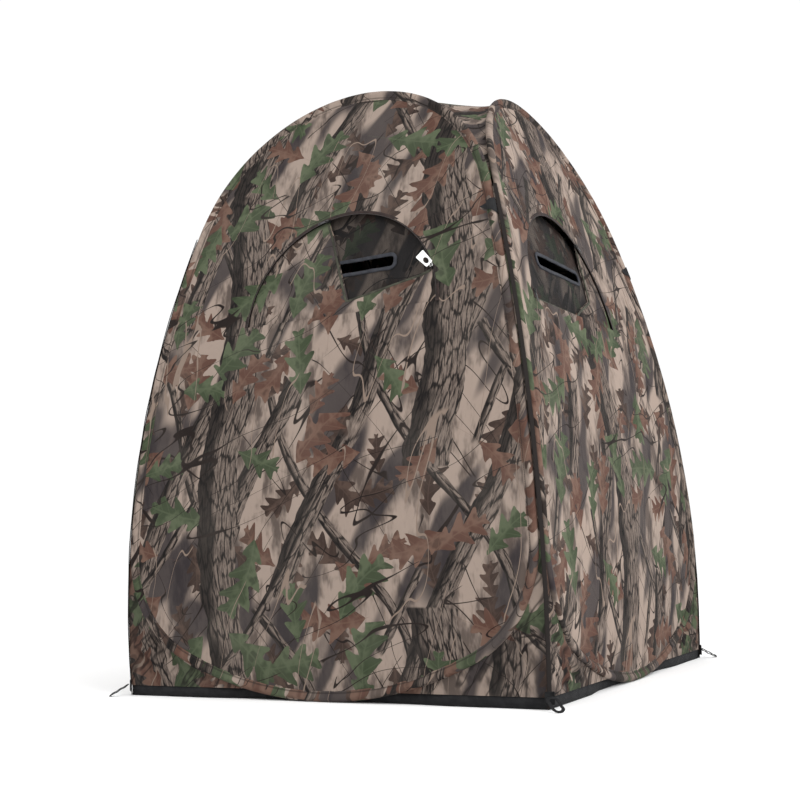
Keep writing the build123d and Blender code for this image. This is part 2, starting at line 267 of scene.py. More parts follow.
def twigs(x, y, colour, degrees, long, wide, seed, ink, width):
    """Thin curved lines, where a stretched noise passes through its middle value."""
    along, across = turned(x, y, degrees)
    field = blot(along * long + seed, across * wide, 1.0, 0.4)
    line = 1.0 - ramp(abs(field - 0.5), width * 0.55, width)
    shown = ramp(blot(along * 2.4, across * 5.0 + seed, 0.0), 0.44, 0.46)
    return mixed(line * shown, colour, ink)


def leaves(x, y, colour, spacing, length, seed, cover, tones):
    """Lobed leaves, one to a cell, each turned its own way."""
    found = cells(vector(x + seed, y + seed * 1.7), 1.0 / spacing, 0.62)
    place_x, place_y, _ = split(found["Position"])
    pick, pick_b, pick_c = split(found["Color"])
    dx, dy = x + seed - place_x, y + seed * 1.7 - place_y
    turn = pick * (2 * pi)
    c, s = calc("COSINE", turn), calc("SINE", turn)
    size = length * 0.72 + pick_b * (length * 0.45)
    along, across = (dx * c + dy * s) / size, (dy * c - dx * s) / size
    curl = along * along * (pick_c - 0.5) * 0.5
    across = across + curl
    out = abs(across)
    step = along - out * 0.75
    envelope = calc("SQRT", calc("MAXIMUM", 1.0 - step * step, 0.0))
    lobes = calc("COSINE", (step + pick_b * 0.3) * 11.0)
    ragged = (blot(x * 55.0, y * 55.0 + seed, 2.0) - 0.5) * 0.16
    width = envelope * (0.36 + lobes * 0.19) + ragged * envelope
    blade = (1.0 - ramp(out - width, -0.012, 0.012)) * ramp(pick_c, cover, cover + 0.001)
    rib = 1.0 - ramp(out, 0.012, 0.035)
    vein = ramp(calc("COSINE", step * 22.0), 0.86, 0.98) * 0.6
    patch = blot(x * 21.0, y * 21.0 + seed, 2.0)
    base, lit, dark = tones
    tone = mixed(ramp(patch + across * 0.5, 0.40, 0.62), base, lit)
    tone = mixed(ramp(patch, 0.56, 0.70) * 0.6, tone, dark)
    tone = mixed(calc("MAXIMUM", rib, vein) * 0.55, tone, lit)
    return mixed(blade, colour, tone)


# The print's layers, from the back: what is drawn, then the values that its function takes.
PRINT_LAYERS = [
    (leaves, 0.150, 0.062, 5.7, 0.30, (BROWN, BROWN_LIT, BROWN_DARK)),
    (twigs, 52.0, 2.4, 12.0, 4.1, TWIG, 0.0085),
    (stems, 118.0, 0.31, 0.013, 2.3, 0.42),
    (stems, 66.0, 0.215, 0.031, 8.9, 0.40),
    (twigs, 128.0, 2.4, 11.0, 9.7, TWIG, 0.0080),
    (leaves, 0.205, 0.084, 3.3, 0.42, (RUST, RUST_LIT, RUST_DARK)),
    (stems, 88.0, 0.62, 0.062, 5.2, 0.20),
    (stems, 58.0, 0.34, 0.011, 6.4, 0.44),
    (leaves, 0.235, 0.082, 1.2, 0.46, (RUST, RUST_LIT, RUST_DARK)),
    (leaves, 0.200, 0.090, 7.9, 0.36, (GREEN, GREEN_LIT, GREEN_DARK)),
    (twigs, 76.0, 2.0, 9.0, 1.9, TWIG_LIT, 0.0050),
    (twigs, 20.0, 2.6, 10.0, 6.6, TWIG, 0.0065),
]


def make_print():
    """The woodland print as a node group: a place on the cloth in metres in, a colour out."""
    tree = bpy.data.node_groups.new("woodland_print", "ShaderNodeTree")
    tree.interface.new_socket("Place", in_out="INPUT", socket_type="NodeSocketVector")
    tree.interface.new_socket("Color", in_out="OUTPUT", socket_type="NodeSocketColor")
    start, end = tree.nodes.new("NodeGroupInput"), tree.nodes.new("NodeGroupOutput")
    x, y, _ = split(Val(start))
    ground = blot(x * 14.0, y * 5.0, 4.0, 0.65)
    colour = mixed(ramp(ground, 0.44, 0.66), TAN, TAN_DARK)
    lean, cross = turned(x, y, 64.0)
    haze = ramp(blot(lean * 3.0, cross * 10.0, 1.0), 0.48, 0.60)
    colour = mixed(haze * 0.88, colour, HAZE)
    for layer, *values in PRINT_LAYERS:
        colour = layer(x, y, colour, *values)
    feed(end.inputs[0], colour)
    return tree


PRINT = make_print()


def start_material(name, roughness, specular, metallic=0.0):
    """A new material with its main shader's plain values set."""
    material = bpy.data.materials.new(name)
    material.use_nodes = True
    tree = material.node_tree
    shader = tree.nodes["Principled BSDF"]
    shader.inputs["Roughness"].default_value = roughness
    shader.inputs["Specular IOR Level"].default_value = specular
    shader.inputs["Metallic"].default_value = metallic
    return material, tree, shader


def bump(shader, height, strength, distance):
    node = new_node("ShaderNodeBump", height)
    node.inputs["Strength"].default_value = strength
    node.inputs["Distance"].default_value = distance
    feed(node.inputs["Height"], height)
    feed(shader.inputs["Normal"], Val(node))


def uv_place(tree, name="UVMap"):
    node = tree.nodes.new("ShaderNodeUVMap")
    node.uv_map = name
    return split(Val(node))


def printed(tree, x, y, shift):
    """The print's colour at a place on the cloth."""
    group = tree.nodes.new("ShaderNodeGroup")
    group.node_tree = PRINT
    feed(group.inputs[0], vector(x + shift[0], y + shift[1]))
    return Val(group)


def weave(x, y, pitch):
    """Crossed threads, for bump."""
    step = 2 * pi / pitch
    warp = calc("SINE", x * step)
    weft = calc("SINE", y * step)
    return warp * weft


def cloth_material(name, shift, shade=1.0, run_seam=None, crease_shade=False):
    """Printed polyester cloth. It may be darkened all over as painted shade, stitched along a line with
    painted shade in the groove beside the stitches, or given painted shade along its creases.
    """
    material, tree, shader = start_material(name, 0.88, 0.10)
    x, y, _ = uv_place(tree)
    colour = printed(tree, x, y, shift)
    fade = blot(x * 5.0, y * 5.0 + shift[0], 3.0, 0.6)
    colour = mixed(ramp(fade, 0.3, 0.8) * 0.05, colour, (0.36, 0.32, 0.28))
    # Painted shade: dark lines along a field of folds stand for the shade in the cloth's creases.
    if crease_shade:
        along, across = turned(x, y, 38.0)
        folds = blot(along * 5.0, across * 24.0, 2.0, 0.6)
        painted_crease_shade = 1.0 - ramp(abs(folds - 0.5), 0.0, 0.075)
        colour = mixed(painted_crease_shade * 0.72, colour, (0.010, 0.008, 0.008))
    # Painted shade: the whole colour is darkened towards black by 1 - shade.
    if shade < 1.0:
        colour = mixed(1.0 - shade, colour, (0.004, 0.004, 0.004))
    if run_seam is not None:
        along, across, _ = uv_place(tree, "Run")
        line = 1.0 - ramp(abs(across - run_seam), 0.0005, 0.0011)
        dash = ramp(calc("SINE", along * (2 * pi / 0.004)), -0.3, 0.1)
        colour = mixed(line * dash * 0.75, colour, (0.035, 0.030, 0.026))
        # Painted shade: a dark line just beside the stitches stands for the shade in the seam's groove.
        painted_groove_shade = 1.0 - ramp(abs(across - run_seam - 0.0015), 0.0008, 0.0022)
        colour = mixed(painted_groove_shade * 0.45, colour, (0.015, 0.012, 0.011))
    feed(shader.inputs["Base Color"], colour)
    creases = blot(x * 22.0, y * 13.0, 4.0, 0.62)
    soft = blot(x * 6.0, y * 9.0 + 3.0, 2.0, 0.5)
    bump(shader, creases * 0.5 + soft * 1.1 + weave(x, y, 0.0011) * 0.02, 0.55, 0.010)
    return material


def mesh_material(name, shift):
    """Dark printed mesh of fine holes, opaque, with painted shade in the holes for the dark inside seen
    through them.
    """
    material, tree, shader = start_material(name, 0.85, 0.15)
    x, y, _ = uv_place(tree)
    colour = mixed(0.76, printed(tree, x, y, shift), (0.006, 0.006, 0.006))
    # Painted shade: the holes are near-black dots that stand for the shade inside the blind seen through them;
    # the same pattern gives the bump.
    holes_and_shade = ramp(weave(x, y, 0.0026), -0.15, 0.35)
    colour = mixed(holes_and_shade * 0.55, colour, (0.003, 0.003, 0.003))
    feed(shader.inputs["Base Color"], colour)
    soft = blot(x * 7.0, y * 9.0, 3.0)
    bump(shader, soft + holes_and_shade * -0.05, 0.5, 0.006)
    return material


def plain_cloth(name, colour, dark, pitch=0.0016, roughness=0.8):
    """Unprinted woven cloth, tape or webbing, on the piece's own place in space."""
    material, tree, shader = start_material(name, roughness, 0.25)
    x, y, z = split(Val(tree.nodes.new("ShaderNodeTexCoord"), "Object"))
    u, v = x + y, z + (x - y) * 0.5
    tone = blot(u * 40.0, v * 40.0, 4.0, 0.6)
    threads = weave(u, v, pitch)
    mix = mixed(ramp(tone + threads * 0.15, 0.25, 0.75), dark, colour)
    feed(shader.inputs["Base Color"], mix)
    bump(shader, threads * 0.3 + tone * 0.6, 0.5, 0.0012)
    return material


def hard_material(name, colour, worn, roughness, metallic=0.0):
    """Painted metal or moulded plastic with slight wear on its edges."""
    material, tree, shader = start_material(name, roughness, 0.5, metallic)
    grain = cloud(Val(tree.nodes.new("ShaderNodeTexCoord"), "Object"), 420.0, 3.0, 0.6)
    pointed = Val(tree.nodes.new("ShaderNodeNewGeometry"), "Pointiness")
    edge = ramp(pointed + (grain - 0.5) * 0.05, 0.53, 0.60)
    mix = mixed(edge * 0.5 + grain * 0.12, colour, worn)
    feed(shader.inputs["Base Color"], mix)
    feed(shader.inputs["Roughness"], ramp(grain, 0.2, 0.8) * 0.18 + (roughness - 0.06))
    bump(shader, grain, 0.15, 0.0003)
    return material


# ---------------------------------------------------------------- the wall's shape
def wall(u, z, out=0.0):
    """The point of the front wall at this place across it and height, this far out of it."""
    lift = asin(max(-1.0, min(1.0, (z - WALL_REACH_Z) / WALL_ARC)))
    radius = WALL_ARC + out
    return Vector((u, AXIS_Y - radius * cos(lift), WALL_REACH_Z + radius * sin(lift)))


def reach(z):
    return sqrt(WALL_ARC**2 - (z - WALL_REACH_Z) ** 2) - AXIS_Y


def climb(z):
    """Length of cloth up the wall to height z."""
    return WALL_ARC * asin((z - WALL_REACH_Z) / WALL_ARC)


def spin(degrees, axis="Z"):
    return Matrix.Rotation(radians(degrees), 4, axis)


def side_matrix(side):
    return spin(SIDES[side])


def slant(height):
    """The ways up and out from the front wall at a height on its arc."""
    lean = asin((height - WALL_REACH_Z) / WALL_ARC)
    return Vector((0, sin(lean), cos(lean))), Vector((0, -cos(lean), sin(lean)))


def frame_axes(up, out):
    """Axes across, up and out as a matrix."""
    return Matrix((Vector((1, 0, 0)), up, out)).transposed().to_4x4()


def hoop_arcs():
    """Centre, radius and end angles of the hoop's arcs on the right half, from the bottom."""
    side_r = WALL_ARC - HOOP_INSET
    top_z = WALL_REACH_Z + sqrt((side_r - TOP_R) ** 2 - AXIS_Y**2)
    top_a = atan2(top_z - WALL_REACH_Z, AXIS_Y)
    corner_x = -AXIS_Y + sqrt((side_r - CORNER_R) ** 2 - (CORNER_Z - WALL_REACH_Z) ** 2)
    corner_a = atan2(CORNER_Z - WALL_REACH_Z, corner_x + AXIS_Y)
    drop = SLEEVE_R - CORNER_Z
    foot_r = (CORNER_R**2 - corner_x**2 - drop**2) / (2 * drop + 2 * CORNER_R)
    foot_z = foot_r + SLEEVE_R
    foot_a = atan2(CORNER_Z - foot_z, corner_x)
    return [
        (0.0, foot_z, foot_r, -pi / 2, foot_a),
        (corner_x, CORNER_Z, CORNER_R, foot_a, corner_a),
        (-AXIS_Y, WALL_REACH_Z, side_r, corner_a, top_a),
        (0.0, top_z, TOP_R, top_a, pi / 2),
    ]


ARCS = hoop_arcs()


def outline(out, step):
    """The hoop's outline grown by out, as points all round from the middle of its foot."""
    half = []
    for x, z, radius, start, end in ARCS:
        count = max(2, int(radius * (end - start) / step))
        for k in range(count):
            angle = start + (end - start) * k / count
            half.append((x + (radius + out) * cos(angle), z + (radius + out) * sin(angle)))
    x, z, radius, _, end = ARCS[-1]
    half.append((0.0, z + radius + out))
    return np.array(half + [(-u, v) for u, v in half[-2:0:-1]])


def window_centre(side):
    """The arc's centre, the way up and the way out, for a window seen as on the front wall."""
    up, out = slant(FRAME_Z)
    along = -(FRAME_Z - ARC_Z) / up.z
    return wall(WINDOWS[side][0], FRAME_Z) + up * along - out * FRAME_SINK, up, out


def window_matrix(side):
    """Window axes, across, up and out, in the wall's own place."""
    centre, up, out = window_centre(side)
    return Matrix.Translation(centre) @ frame_axes(up, out)


def on_wall(side, u, v):
    """A place in a window's plane, as a place across the wall and a height."""
    centre, up, _ = window_centre(side)
    return centre.x + u, centre.z + v * up.z


def half_disc(radius, sill):
    """Points round a half disc cut off at height sill."""
    start = asin(sill / radius)
    count = int(radius * (pi - 2 * start) / EDGE_STEP)
    arc = []
    for k in range(count + 1):
        angle = start + (pi - 2 * start) * k / count
        arc.append((radius * cos(angle), radius * sin(angle)))
    left, right = arc[-1], arc[0]
    base = int((right[0] - left[0]) / EDGE_STEP)
    return arc + [(left[0] + (right[0] - left[0]) * k / base, sill) for k in range(1, base)]


def spaced(points):
    """The same closed outline with points no further apart than EDGE_STEP."""
    made = []
    for (x0, y0), (x1, y1) in zip(points, list(points[1:]) + [points[0]]):
        count = max(1, ceil(hypot(x1 - x0, y1 - y0) / EDGE_STEP))
        made += [(x0 + (x1 - x0) * k / count, y0 + (y1 - y0) * k / count) for k in range(count)]
    return np.array(made)


def inside(points, loop):
    """Which points lie inside a closed outline."""
    result = np.zeros(len(points), bool)
    x, y = points[:, 0], points[:, 1]
    for (x0, y0), (x1, y1) in zip(loop, np.roll(loop, -1, 0)):
        if y0 != y1:
            crossed = (y0 > y) != (y1 > y)
            result ^= crossed & (x < x0 + (y - y0) * (x1 - x0) / (y1 - y0))
    return result


def fill(loops, spacing):
    """Triangles over the first outline, less the others."""
    edge = np.concatenate(loops)
    low, high = loops[0].min(0), loops[0].max(0)
    rows = np.arange(low[1], high[1], spacing * sqrt(3) / 2)
    grid = []
    for n, y in enumerate(rows):
        xs = np.arange(low[0] + (n % 2) * spacing / 2, high[0], spacing)
        grid.append(np.stack([xs, np.full_like(xs, y)], 1))
    grid = np.concatenate(grid)
    grid = grid[inside(grid, loops[0])]
    for hole in loops[1:]:
        grid = grid[~inside(grid, hole)]
    tree = KDTree(len(edge))
    for k, point in enumerate(edge):
        tree.insert((*point, 0), k)
    tree.balance()
    clear = np.array([tree.find((*point, 0))[2] > spacing * 0.55 for point in grid])
    points = np.concatenate([edge, grid[clear]])
    borders, first = [], 0
    for loop in loops:
        count = len(loop)
        borders += [(first + k, first + (k + 1) % count) for k in range(count)]
        first += count
    found = delaunay_2d_cdt([Vector(point) for point in points], borders, [], 0, 1e-6)
    flat = np.array([tuple(point) for point in found[0]])
    faces = np.array(found[2])
    middle = flat[faces].mean(1)
    keep = inside(middle, loops[0])
    for hole in loops[1:]:
        keep &= ~inside(middle, hole)
    return flat, faces[keep]


def link(name, data):
    """A new object in the scene."""
    item = bpy.data.objects.new(name, data)
    bpy.context.collection.objects.link(item)
    return item


def build(name, points, faces, uv=None, matrix=None, smooth=True):
    """A mesh object from points and faces, with one UV pair per point."""
    mesh = bpy.data.meshes.new(name)
    mesh.from_pydata([tuple(point) for point in points], [], [tuple(int(i) for i in face) for face in faces])
    if uv is not None:
        corners = np.zeros(len(mesh.loops), np.int32)
        mesh.loops.foreach_get("vertex_index", corners)
        mesh.uv_layers.new(name="UVMap").data.foreach_set("uv", np.asarray(uv, np.float32)[corners].ravel())
    if matrix is not None:
        mesh.transform(matrix)
    mesh.polygons.foreach_set("use_smooth", [smooth] * len(mesh.polygons))
    return link(name, mesh)


def place(piece, material, slot, nodes=(), body="root"):
    """Give a piece its material, the nodes that it replaces and the body that it rides on. The slot is not
    used.
    """
    piece.data.materials.append(material)
    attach(piece, body)
    if nodes:
        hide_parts(*nodes)


def soft(x, y, seed=0.0):
    """Smooth noise from -1 to 1."""
    return noise.noise(Vector((x, y, seed)))


def ease(value, low, high):
    share = max(0.0, min(1.0, (value - low) / (high - low)))
    return share * share * (3 - 2 * share)


HOOP_LINE = outline(0.0, EDGE_STEP)
HOOP_TREE = KDTree(len(HOOP_LINE))
for index, point in enumerate(HOOP_LINE):
    HOOP_TREE.insert((*point, 0), index)
HOOP_TREE.balance()
HOOP_RUN = np.concatenate([[0], np.cumsum(np.linalg.norm(np.diff(HOOP_LINE, axis=0), axis=1))])


def panel_out(u, z, seed):
    """How far the wall's cloth stands out of its plain curve. It lies calmer behind a window's path."""
    _, index, gap = HOOP_TREE.find((u, z, 0))
    run = HOOP_RUN[index]
    low = 1 - ease(z, 0.10, 0.45)
    pull = 0.0007 + 0.0026 * low
    wave = sin(run / 0.0075 + 4 * soft(run * 7, seed)) * (0.6 + 0.6 * soft(run * 11, seed + 5))
    pucker = pull * wave * exp(-gap / (0.030 + 0.035 * low))
    broad = 0.0045 * soft(u * 2.6, z * 1.9, seed) + 0.0022 * soft(u * 7.5 + z * 3, z * 2.4, seed + 9)
    fold = 0.0016 * (1 - abs(soft(u * 9 + z * 7, z * 3 - u * 2, seed + 3)) * 2)
    calm = 1 - 0.8 * ease(z, 0.58, 0.70) * (1 - ease(z, 1.26, 1.34)) * (1 - ease(abs(u), 0.40, 0.50))
    return ((broad + fold) * calm + pucker) * ease(gap, 0.010, 0.030)


def slid(point, travel):
    """A point moved down along the front wall's curve."""
    pivot = Vector((0, AXIS_Y, WALL_REACH_Z))
    return pivot + Matrix.Rotation(travel / WALL_ARC, 3, "X") @ (point - pivot)


def sheet_mesh(name, loops, out, side, travel=0.0):
    """Cloth on the wall's curve over these outlines. out gives its height over the curve."""
    flat, faces = fill(loops, GRID)
    points = [slid(wall(u, z, out(u, z)), travel) for u, z in flat]
    uv = [(u + SHIFTS[side][0], climb(z) + SHIFTS[side][1]) for u, z in flat]
    return build(name, points, faces, uv, side_matrix(side))


def wall_loop(side, points):
    """Points in a window's plane as an outline on the wall."""
    return np.array([on_wall(side, u, v) for u, v in points])


def window_loop(side, radius, sill):
    return wall_loop(side, half_disc(radius, sill))


def declare(piece):
    """Measure the area and size of a piece's flat pattern from its UV map; the values are not used.

    A cut that tapers to a strip is given the width that it mostly has."""
    layer = piece.data.uv_layers["UVMap"]
    flat = np.zeros(2 * len(piece.data.loops))
    layer.data.foreach_get("uv", flat)
    flat = flat.reshape(-1, 2)
    area = 0.0
    for face in piece.data.polygons:
        x, y = flat[list(face.loop_indices)].T
        area += abs(np.dot(x, np.roll(y, -1)) - np.dot(y, np.roll(x, -1))) / 2
    width, length = np.ptp(flat, axis=0)
    width = min(width, area / (0.4 * length))


# ---------------------------------------------------------------- materials
CLOTH = cloth_material("cloth_wall", (0.0, 0.0))
SLEEVE = cloth_material("cloth_sleeve", (1.31, 0.77), run_seam=-0.0118)
FOLD = plain_cloth("folded_edge", (0.062, 0.064, 0.044), (0.024, 0.023, 0.017))
# The corner cloth is darkened all over as painted shade, and has painted shade along its creases.
GUSSET = cloth_material("cloth_gusset", (2.17, 1.9), shade=0.86, crease_shade=True)
ROOF = cloth_material("cloth_roof", (3.3, 2.6))
SCREEN = mesh_material("screen_mesh", (0.45, 1.2))
HEM = plain_cloth("hem_cloth", (0.036, 0.038, 0.046), (0.018, 0.019, 0.024))
BLACK = plain_cloth("black_webbing", (0.012, 0.012, 0.013), (0.003, 0.003, 0.004), 0.0022)
TAPE = plain_cloth("zip_tape", (0.034, 0.020, 0.017), (0.012, 0.008, 0.007))
COIL = hard_material("zip_coil", (0.020, 0.014, 0.013), (0.07, 0.05, 0.045), 0.45)
PAINT = hard_material("slider_paint", (0.012, 0.012, 0.013), (0.16, 0.15, 0.14), 0.38, 0.6)
DARK_PLASTIC = hard_material("pull_plastic", (0.014, 0.014, 0.015), (0.06, 0.06, 0.06), 0.45)
WHITE_PLASTIC = hard_material("tag_plastic", (0.78, 0.78, 0.76), (0.62, 0.61, 0.58), 0.42)
STEEL = hard_material("spring_steel", (0.30, 0.30, 0.31), (0.55, 0.55, 0.55), 0.35, 0.9)

for name in [f"{side}_hoop" for side in SIDES] + ["hoop_ferrules"]:
    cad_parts[name].data.materials.clear()
    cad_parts[name].data.materials.append(STEEL)


# ---------------------------------------------------------------- walls
def make_panel(side):
    loops = [outline(-0.010, EDGE_STEP)]
    if side == "back":
        half, low, high = DOOR_ZIP_X + 0.004, DOOR_BOTTOM_Z - 0.006, DOOR_TOP_Z + 0.004
        loops.append(spaced([(-half, low), (half, low), (half, high), (-half, high)]))
    else:
        loops.append(window_loop(side, ARC_R + 0.004, 0.0))
    seed = SEEDS[side]
    piece = sheet_mesh(f"{side}_wall_cloth", loops, lambda u, z: panel_out(u, z, seed), side)
    place(piece, CLOTH, "camo", [f"{side}_panel"])
    declare(piece)


# The sleeve's section: out from the hoop's line, and out of the wall.
SECTION = [
    (0.0105, 0.0), (0.0099, 0.0036), (0.0080, 0.0066), (0.0050, 0.0086), (0.0012, 0.0092), (-0.0030, 0.0080),
    (-0.0066, 0.0054), (-0.0092, 0.0030), (-0.0110, 0.0019), (-0.0128, 0.0016), (-0.0145, 0.0014),
    (-0.0155, 0.0),
]
SECTION += [(n, -w) for n, w in SECTION[-2:0:-1]]


def make_sleeve(side):
    """The cloth tube sewn round one hoop, with its flat seam towards the wall cloth."""
    line = outline(0.0, 0.007)
    count, ring = len(line), len(SECTION)
    run = 0.0
    points, uv, runs = [], [], []
    total = sum(np.linalg.norm(line - np.roll(line, 1, 0), axis=1))
    for k in range(count + 1):
        u, z = line[k % count]
        before, after = line[(k - 1) % count], line[(k + 1) % count]
        tangent = (after - before) / np.linalg.norm(after - before)
        normal = (tangent[1], -tangent[0])
        low = 1 - ease(z, 0.05, 0.40)
        phase = 2 * pi * run / total
        ripple = soft(cos(phase) * 9, sin(phase) * 9, SEEDS[side])
        fine = soft(cos(phase) * 26, sin(phase) * 26, SEEDS[side] + 4)
        for j in range(ring + 1):
            n, w = SECTION[j % ring]
            tail = ease(-n, 0.004, 0.013)
            swell = 1 + 0.05 * ripple + 0.03 * fine
            shift = tail * (0.0009 + 0.0012 * low) * (fine * 1.6 + ripple)
            at = (u + normal[0] * n * swell, z + normal[1] * n * swell)
            if k < count and j < ring:
                points.append(wall(at[0], at[1], w * swell + shift))
            bulge = copysign(abs(w) * 1.2, w)
            uv.append((at[0] + SHIFTS[side][0], climb(at[1]) + SHIFTS[side][1] + bulge))
            runs.append((run, n))
        run += float(np.linalg.norm(after - line[k % count]))
    faces, corner_uv, corner_run = [], [], []
    for k in range(count):
        for j in range(ring):
            nk, nj = (k + 1) % count, (j + 1) % ring
            faces.append((k * ring + j, nk * ring + j, nk * ring + nj, k * ring + nj))
            for a, b in ((k, j), (k + 1, j), (k + 1, j + 1), (k, j + 1)):
                corner_uv.append(uv[a * (ring + 1) + b])
                corner_run.append(runs[a * (ring + 1) + b])
    piece = build(f"{side}_hoop_sleeve", points, faces, None, side_matrix(side))
    for label, values in (("UVMap", corner_uv), ("Run", corner_run)):
        layer = piece.data.uv_layers.new(name=label)
        layer.data.foreach_set("uv", np.array(values, np.float32).ravel())
    place(piece, SLEEVE, "sleeve", [f"{side}_sleeve"])


def corner_loop(hand):
    """Outline of the corner cloth on one hand: hoop, corner line and ground."""
    grown = outline(0.004, 0.010)
    z_low = SKIRT_H - 0.003
    half = [tuple(point) for point in grown[: len(grown) // 2 + 1] if z_low < point[1] < SEAM_TOP - 0.002]
    z_top = half[-1][1]
    steps = 90
    line = [(reach(z) - 0.0012, z) for z in (z_top + (z_low - z_top) * k / steps for k in range(steps + 1))]
    start = half[0][0]
    ground = [(line[-1][0] + (start - line[-1][0]) * k / 40, z_low) for k in range(1, 40)]
    return np.array([(hand * u, z) for u, z in half + line + ground])


def make_gussets(side):
    """The slack corner cloths under one hoop."""
    seed = SEEDS[side]

    def out(u, z):
        corner = reach(z) - abs(u)
        _, _, gap = HOOP_TREE.find((u, z, 0))
        free = ease(gap, 0.006, 0.040) * ease(corner, 0.0, 0.030) * ease(z, SKIRT_H - 0.006, 0.07)
        hand = 1 if u > 0 else -1
        slope = (abs(u) - 0.6) * 0.8 - z
        ridge = 1 - abs(soft(slope * 14, (abs(u) + z) * 4, seed + hand)) * 2.4
        fine = 0.6 - abs(soft(slope * 34, (abs(u) + z) * 10, seed + hand * 3)) * 2.6
        belly = soft(abs(u) * 5, z * 5, seed + hand * 7)
        return free * (0.011 * ridge + 0.0055 * fine + 0.010 * belly - 0.011)

    for hand, label in ((-1, "left"), (1, "right")):
        flat, faces = fill([corner_loop(hand)], 0.0075)
        points = [wall(u, z, out(u, z)) for u, z in flat]
        uv = [(u * 0.94 + z * 0.34, climb(z) * 0.94 - u * 0.34 + SEEDS[side]) for u, z in flat]
        piece = build(f"{side}_{label}_corner_cloth", points, faces, uv, side_matrix(side))
        place(piece, GUSSET, "camo", [f"{side}_gussets"])
        declare(piece)


def band_points(path, normals, width_axis, half_width, half_thick):
    """Rings of a flat band along a path, with rounded edges."""
    ring = []
    for k in range(12):
        angle = 2 * pi * k / 12
        c, s = cos(angle), sin(angle)
        ring.append((copysign(abs(c) ** 0.35, c) * half_width, copysign(abs(s) ** 0.8, s) * half_thick))
    rings = []
    for point, normal, wide in zip(path, normals, width_axis):
        rings.append([point + wide * w + normal * t for w, t in ring])
    return rings


def loft(name, rings, matrix=None, closed=False):
    """A skin over rings of points, each with as many points. It is capped, or joined end to end."""
    count, size = len(rings), len(rings[0])
    points = [point for ring in rings for point in ring]
    faces = []
    for k in range(count if closed else count - 1):
        nk = (k + 1) % count
        for j in range(size):
            nj = (j + 1) % size
            faces.append((k * size + j, nk * size + j, nk * size + nj, k * size + nj))
    if not closed:
        faces.append(tuple(range(size))[::-1])
        faces.append(tuple((count - 1) * size + j for j in range(size)))
    return build(name, points, faces, None, matrix)


def grid_faces(size):
    """Quads over a square grid with this many points each way."""
    corners = [i * size + j for i in range(size - 1) for j in range(size - 1)]
    return [(k, k + size, k + size + 1, k + 1) for k in corners]


def joined(name, pieces):
    """One object from several."""
    bpy.ops.object.select_all(action="DESELECT")
    for piece in pieces:
        piece.select_set(True)
    bpy.context.view_layer.objects.active = pieces[0]
    bpy.ops.object.join()
    pieces[0].name = name
    return pieces[0]


def make_tab(name, matrix):
    """A black cloth triangle over the front wall's hoop where it leaves its neighbour."""
    count, z_mid, half = 12, 1.200, 0.022
    points = []
    for i in range(count + 1):
        share = i / count
        z_here = z_mid + 0.004 * (1 - share)
        for j in range(count + 1):
            z = z_here + half * share * (2 * j / count - 1)
            u = reach(z) - 0.052 + 0.047 * share
            off = u - (reach(z) - HOOP_INSET)
            over = sqrt(max(0.0, 0.0124**2 - off**2))
            points.append(wall(u, z, max(0.0032, over)))
    return build(name, points, grid_faces(count + 1), None, matrix)


def make_seams():
    """Bound seams up the corners, with a black tab near the top of each."""
    strips, tabs = [], []
    for n, side in enumerate(SIDES):
        turn = side_matrix(side)
        out, wide = Vector((1, -1, 0)).normalized(), Vector((1, 1, 0)).normalized()
        path = []
        for k in range(90):
            z = 0.002 + (SEAM_TOP - 0.002) * k / 89
            wobble = 0.0012 * soft(z * 14, n * 3.1)
            path.append(Vector((reach(z), -reach(z), z)) + out * (0.0005 + wobble))
        strips.append(loft(f"seam_{n}", band_points(path, [out] * 90, [wide] * 90, 0.0055, 0.0012), turn))
        tabs.append(make_tab(f"tab_{n}", turn))
    # The bindings take the corner cloth's material, with its painted shade.
    place(joined("corner_bindings", strips), GUSSET, "camo", ["corner_seams"])
    place(joined("corner_tabs", tabs), BLACK, "webbing")


def make_roof():
    """The roof cloth, level between neighbouring hoops and slack in the middle."""
    size, slack = 73, 70
    _, top_z, radius, start, _ = ARCS[3]
    radius -= 0.001
    edge = []
    for k in range(size):
        angle = pi - start - (pi - 2 * start) * k / (size - 1)
        z = top_z + radius * sin(angle)
        edge.append((radius * cos(angle), -reach(z) + ROOF_INSET, z))
    edge = np.array(edge)
    meet = (edge[-1, 0] - edge[-1, 1]) / 2
    edge[0, :2], edge[-1, :2] = (-meet, -meet), (meet, -meet)
    grid = np.zeros((size, size, 3))
    grid[:, 0] = edge
    grid[:, -1] = edge * (1, -1, 1)
    grid[0, :] = edge[:, (1, 0, 2)]
    grid[-1, :] = edge[:, (1, 0, 2)] * (-1, 1, 1)
    inner = (slice(1, -1), slice(1, -1))

    def relax(times):
        for _ in range(times):
            grid[inner] = (grid[:-2, 1:-1] + grid[2:, 1:-1] + grid[1:-1, :-2] + grid[1:-1, 2:]) / 4

    relax(4000)
    half = edge[size // 2:]
    spread = np.abs(half[:, 0]) + np.abs(half[:, 1])
    grid[inner + (2,)] = np.interp(np.abs(grid[inner + (0,)]) + np.abs(grid[inner + (1,)]), spread, half[:, 2])
    relax(slack)
    points, uv = [], []
    for i in range(size):
        for j in range(size):
            x, y, z = grid[i, j]
            rim = min(i, j, size - 1 - i, size - 1 - j) / (size - 1)
            lift = 0.004 * soft(x * 5, y * 5, 3) + 0.0022 * soft(x * 15, y * 11, 8)
            ruck = 0.0020 * sin(38 * atan2(y, x) + 3 * soft(x * 6, y * 6)) * exp(-rim / 0.06)
            points.append((x, y, z + (lift + ruck) * ease(rim, 0.0, 0.05)))
            uv.append((x * 1.1, y * 1.1 + z))
    piece = build("roof_cloth", points, grid_faces(size), uv)
    place(piece, ROOF, "camo", ["roof"])
    declare(piece)


